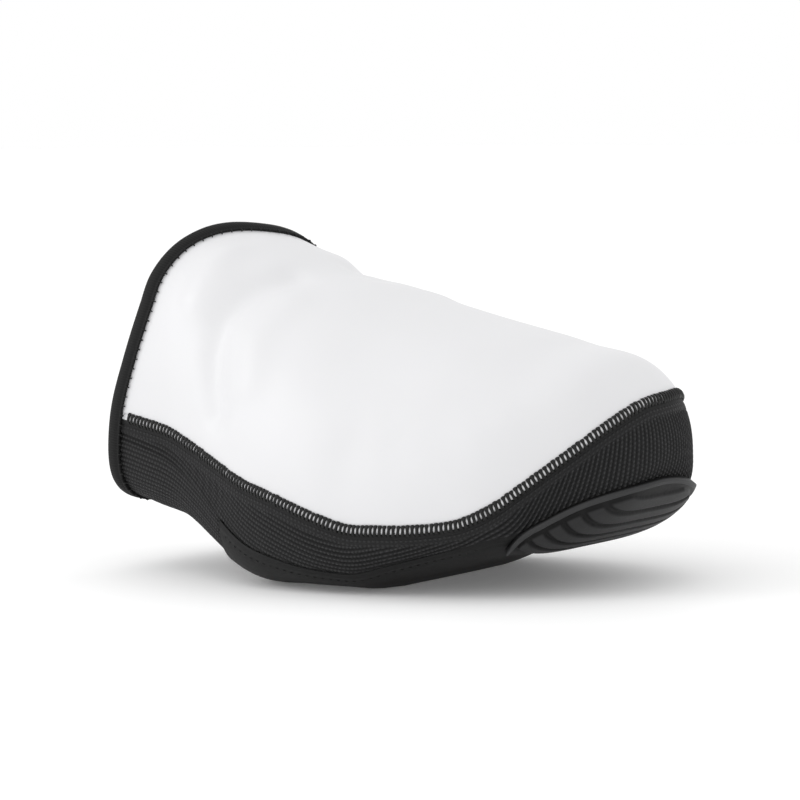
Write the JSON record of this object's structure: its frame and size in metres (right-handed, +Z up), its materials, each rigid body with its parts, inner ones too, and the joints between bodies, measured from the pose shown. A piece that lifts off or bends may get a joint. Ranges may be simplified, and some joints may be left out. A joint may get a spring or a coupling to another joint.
{
  "type": "cycling toe cover",
  "caption": "Stretch fabric cover for the front half of a right cycling shoe, white over black, with a ribbed side band, cleat opening, arch strap and rubber toe patch.",
  "frame": {"origin": "middle of the cover's box, on the floor that it stands on", "axes": "+X to the toe, -Y to the lateral side, +Y to the medial side, +Z up"},
  "size_m": [0.1798, 0.1006, 0.1038],
  "materials": {
    "softshell": "satin coated",
    "thread": "matt",
    "ribbed_fabric": "matt, ribbed",
    "smooth_fabric": "matt, smooth",
    "rubber": "satin",
    "tape": "matt"
  },
  "bodies": {
    "root": {"upper": "softshell", "edge_seam": "thread", "side_band": "ribbed_fabric", "sole_panel": "smooth_fabric", "toe_patch": "rubber", "collar_binding": "tape"}
  },
  "joints": []
}
